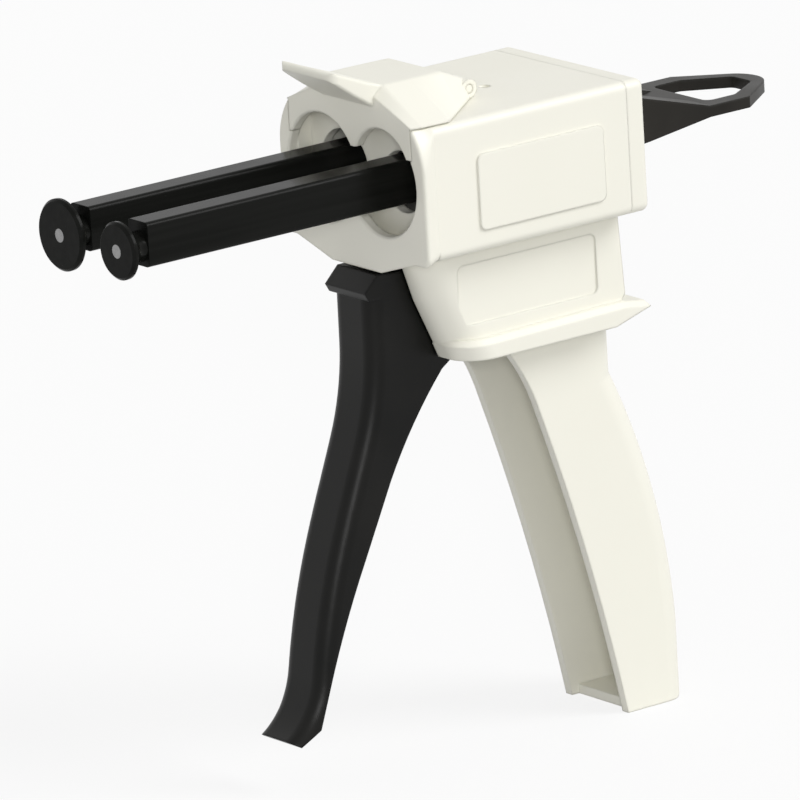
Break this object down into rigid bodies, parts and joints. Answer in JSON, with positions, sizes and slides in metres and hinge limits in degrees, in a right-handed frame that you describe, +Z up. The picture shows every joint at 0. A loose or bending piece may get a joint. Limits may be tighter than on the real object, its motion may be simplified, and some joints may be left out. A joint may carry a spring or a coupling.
{
  "type": "two-barrel cartridge dispensing gun",
  "caption": "Hand-held dispenser for twin-barrel dental cartridges: squeezing its trigger pushes twin plungers forward; a lever and a pull loop let them be drawn back.",
  "frame": {"origin": "middle of the cartridge seat: on the face that the cartridge flange rests on, in the middle plane, at the height of the disc centres", "axes": "-X the way the plungers push, +Z up with the handle below, +Y the side of the larger disc"},
  "size_m": [0.2313, 0.065, 0.1998],
  "materials": {
    "housing_plastic": "fine satin moulded plastic",
    "lock_plastic": "fine satin moulded plastic",
    "trigger_plastic": "satin moulded plastic",
    "rod_plastic": "smooth glossy moulded plastic",
    "disc_plastic": "smooth glossy moulded plastic",
    "loop_plastic": "satin moulded plastic",
    "stud_metal": "turned metal",
    "guide_plastic": "self-lubricating plastic",
    "plate_steel": "plain steel",
    "pin_steel": "plain steel",
    "spring_steel": "plain steel",
    "screw_steel": "plain steel",
    "lever_plastic": "satin moulded plastic"
  },
  "bodies": {
    "housing": {"body": "housing_plastic", "rear_cap": "housing_plastic", "cap_screws": "screw_steel", "front_guide": "guide_plastic", "rear_guide": "guide_plastic", "lock_pin": "lock_plastic", "trigger_pin": "pin_steel", "release_pin": "pin_steel"},
    "lock": {"cartridge_lock": "lock_plastic"},
    "trigger": {"trigger": "trigger_plastic", "trigger_roller": "guide_plastic", "roller_pin": "pin_steel"},
    "drive": {"drive_plate": "plate_steel", "return_spring": "spring_steel"},
    "release": {"hold_plate": "plate_steel", "release_lever": "lever_plastic", "hold_spring": "spring_steel"},
    "plungers": {"rod_large": "rod_plastic", "rod_small": "rod_plastic", "disc_large": "disc_plastic", "disc_small": "disc_plastic", "disc_stud_large": "stud_metal", "disc_stud_small": "stud_metal", "pull_loop": "loop_plastic", "loop_pins": "pin_steel"}
  },
  "joints": [
    {"name": "trigger_pivot", "type": "hinge", "parent": "housing", "child": "trigger", "pos_m": [0.024, 0, -0.033], "axis": [0, -1, 0], "range_deg": [0, 25], "stiffness_Nm_per_rad": 0.3, "springref_deg": -20.05},
    {"name": "drive_slide", "type": "slide", "parent": "housing", "child": "drive", "axis": [-1, 0, 0], "range_m": [0, 0.01345], "deforming": ["return_spring"]},
    {"name": "plunger_slide", "type": "slide", "parent": "housing", "child": "plungers", "axis": [1, 0, 0], "range_m": [0, 0.097]},
    {"name": "release_pivot", "type": "hinge", "parent": "housing", "child": "release", "pos_m": [0.057, 0, -0.014], "axis": [0, -1, 0], "range_deg": [0, 4], "stiffness_Nm_per_rad": 0.4, "springref_deg": -6.88, "deforming": ["hold_spring"]},
    {"name": "lock_hinge", "type": "hinge", "parent": "housing", "child": "lock", "pos_m": [0.025, 0, 0.021], "axis": [0, 1, 0], "range_deg": [0, 95]}
  ],
  "couplings": [
    {"joint": "drive_slide", "follows": "trigger_pivot", "m_per_rad": 0.030756}
  ]
}
